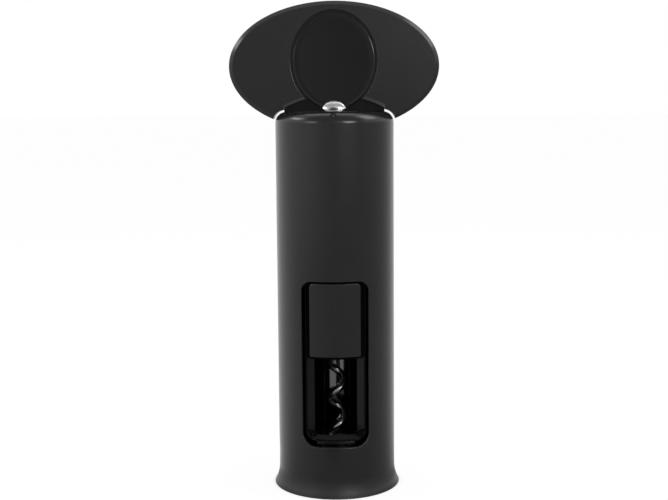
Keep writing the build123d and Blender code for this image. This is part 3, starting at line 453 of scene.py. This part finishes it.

# Shutter and thumb pad: a thin matt black plate closes the window behind the satin pad,
# and two screws from inside the ring clamp ring, plate and pad together.
# Painted shade: the plate is an almost lightless matt black, so that the slots beside the pad stay
# as dark as deep shade.
shutter_shade_black = moulded_finish(
    "shutter_shade_black", dark=(0.0008, 0.0008, 0.0008), pale=(0.0016, 0.0016, 0.0016),
    roughness=0.70, smear=0.10, grain_scale=2400, relief=0.20, gloss=0.03,
)
paint(shutter_shade_black, "shutter_plate")
satin_black = moulded_finish(
    "satin_black", dark=(0.008, 0.008, 0.0085), pale=(0.012, 0.012, 0.0125),
    roughness=0.21, smear=0.06, grain_scale=2600, relief=0.10, gloss=0.50,
)
paint(satin_black, "thumb_pad")
paint(turned_steel, "pad_screws")

# Outer shell: one moulding of black plastic with a fine satin grain, slid over the lining
# from above and held by the screws of the bearing plate. Its lowest few millimetres are
# given a duller finish, which softens the highlights there to match the photograph's.
dull_start_height = 0.009
dull_full_height = 0.004
foot_roughness = 0.42
shell_black = satin_black.copy()
shell_black.name = "shell_black"
foot_mask = edge_mask(
    shell_black, split_place(shell_black).outputs["Z"],
    none_at=dull_start_height, full_at=dull_full_height,
)
cover(shell_black, "Roughness", foot_mask, foot_roughness)
paint(shell_black, "outer_shell")

# Bearing: a cast plate under the shell's top wall, a sintered bronze bush pressed into it,
# a steel thrust washer on its collar, three screws, and a small pin in the shoulder's notch.
cast_plate = metal_finish(
    "cast_plate", dark=(0.46, 0.46, 0.47), pale=(0.56, 0.56, 0.57),
    roughness=0.38, rubbing=0.20, ring_scale=220, relief=0.20,
)
paint(cast_plate, "bearing_plate")
bearing_bronze = metal_finish(
    "bearing_bronze", dark=(0.50, 0.32, 0.15), pale=(0.66, 0.46, 0.24),
    roughness=0.30, rubbing=0.20, ring_scale=700, relief=0.15,
)
paint(bearing_bronze, "shaft_bush")
paint(turned_steel, "thrust_washer_upper", "cap_screws")
dark_steel = metal_finish(
    "dark_steel", dark=(0.10, 0.10, 0.10), pale=(0.16, 0.16, 0.16),
    roughness=0.22, rubbing=0.10, ring_scale=900, relief=0.10,
)
paint(dark_steel, "index_pin")

# Spindle: a turned steel shaft that runs in the bush and carries the worm in its socket.
# A washer and a spring clip keep it from lifting out, and a cross pin holds the worm.
paint(turned_steel, "spindle", "thrust_washer_lower", "retaining_clip", "worm_pin")

# Worm: steel wire wound to a right-handed helix and ground to a point, with a smooth grey coat,
# pinned into the spindle's socket by its stub.
worm_coat = metal_finish(
    "worm_coat", dark=(0.46, 0.46, 0.46), pale=(0.58, 0.58, 0.58),
    roughness=0.22, rubbing=0.08, ring_scale=300, relief=0.03,
)
paint(worm_coat, "worm")

# Handle core: a dark glossy plate moulded round the spindle's tang, locked by two steel pins.
# Its round foot turns in the recess of the shell's top, and it shows below the arch.
core_black = moulded_finish(
    "core_black", dark=(0.003, 0.003, 0.003), pale=(0.006, 0.006, 0.006),
    roughness=0.16, smear=0.10, grain_scale=900, relief=0.02, gloss=0.30,
)
paint(core_black, "handle_core")
paint(turned_steel, "tang_pins")

# Chrome bead: a lens-shaped bar of chromed metal that runs from front to back through the foot
# of the handle, round the spindle's neck. A small dark oval is painted on each rounded end: a
# painted reflection of the dark body below it.
oval_group, oval_in, oval_out = effect_group(
    "upright_oval", ("Centre Height", "Half Width", "Half Height"), ("Reach",)
)
oval_split = oval_group.nodes.new("ShaderNodeSeparateXYZ")
oval_group.links.new(oval_in.outputs["Vector"], oval_split.inputs["Vector"])
oval_side = oval_group.nodes.new("ShaderNodeMath")
oval_side.operation = "DIVIDE"
oval_group.links.new(oval_split.outputs["X"], oval_side.inputs[0])
oval_group.links.new(oval_in.outputs["Half Width"], oval_side.inputs[1])
oval_lift = oval_group.nodes.new("ShaderNodeMath")
oval_lift.operation = "SUBTRACT"
oval_group.links.new(oval_split.outputs["Z"], oval_lift.inputs[0])
oval_group.links.new(oval_in.outputs["Centre Height"], oval_lift.inputs[1])
oval_rise = oval_group.nodes.new("ShaderNodeMath")
oval_rise.operation = "DIVIDE"
oval_group.links.new(oval_lift.outputs["Value"], oval_rise.inputs[0])
oval_group.links.new(oval_in.outputs["Half Height"], oval_rise.inputs[1])
oval_place = oval_group.nodes.new("ShaderNodeCombineXYZ")
oval_group.links.new(oval_side.outputs["Value"], oval_place.inputs["X"])
oval_group.links.new(oval_rise.outputs["Value"], oval_place.inputs["Z"])
oval_length = oval_group.nodes.new("ShaderNodeVectorMath")
oval_length.operation = "LENGTH"
oval_group.links.new(oval_place.outputs["Vector"], oval_length.inputs[0])
oval_group.links.new(oval_length.outputs["Value"], oval_out.inputs["Reach"])


def oval_reach(finish, centre_height, half_width, half_height):
    """Reach from the middle of an oval that faces front and back: 1 on its outline."""
    oval = finish.node_tree.nodes.new("ShaderNodeGroup")
    oval.node_tree = oval_group
    oval.inputs["Centre Height"].default_value = centre_height
    oval.inputs["Half Width"].default_value = half_width
    oval.inputs["Half Height"].default_value = half_height
    coordinates = finish.node_tree.nodes["Texture Coordinate"]
    finish.node_tree.links.new(coordinates.outputs["Object"], oval.inputs["Vector"])
    return oval.outputs["Reach"]


# Painted reflection: a grey oval on the chrome, where the dark body below would show in it.
dark_reflection_height = 0.15555
dark_reflection_half_width = 0.0018
dark_reflection_half_height = 0.0006
dark_reflection_grey = (0.16, 0.16, 0.16, 1)
bright_chrome = metal_finish(
    "bright_chrome", dark=(0.90, 0.90, 0.91), pale=(0.96, 0.96, 0.97),
    roughness=0.24, rubbing=0.06, ring_scale=500, relief=0.0,
)
dark_reflection_reach = oval_reach(bright_chrome, dark_reflection_height, dark_reflection_half_width, dark_reflection_half_height)
dark_reflection_mask = edge_mask(bright_chrome, dark_reflection_reach, none_at=1.15, full_at=0.75)
cover(bright_chrome, "Base Color", dark_reflection_mask, dark_reflection_grey)
paint(bright_chrome, "chrome_bead")

# Handle halves: two mouldings of the shell's satin plastic, screwed together through the core.
# Thumb discs cover the screws. They are a darker, slightly softer black with a glossier rim.
paint(satin_black, "handle_front", "handle_back")
paint(turned_steel, "handle_screws")
disc_half_width = 0.0166
disc_half_height = 0.0193
disc_centre = sum((Vector(corner) for corner in nodes["thumb_disc_front"].bound_box), Vector()) / 8
disc_black = moulded_finish(
    "disc_black", dark=(0.003, 0.003, 0.003), pale=(0.005, 0.005, 0.005),
    roughness=0.32, smear=0.08, grain_scale=2600, relief=0.12, gloss=0.27,
)
disc_shader = disc_black.node_tree.nodes["Principled BSDF"]
disc_reach = oval_reach(disc_black, disc_centre.z, disc_half_width, disc_half_height)
rim_mask = edge_mask(disc_black, disc_reach, none_at=0.94, full_at=0.98, blend="LINEAR")
disc_black.node_tree.links.new(rim_mask, disc_shader.inputs["Coat Weight"])
disc_shader.inputs["Coat Roughness"].default_value = 0.10
paint(disc_black, "thumb_disc_front", "thumb_disc_back")
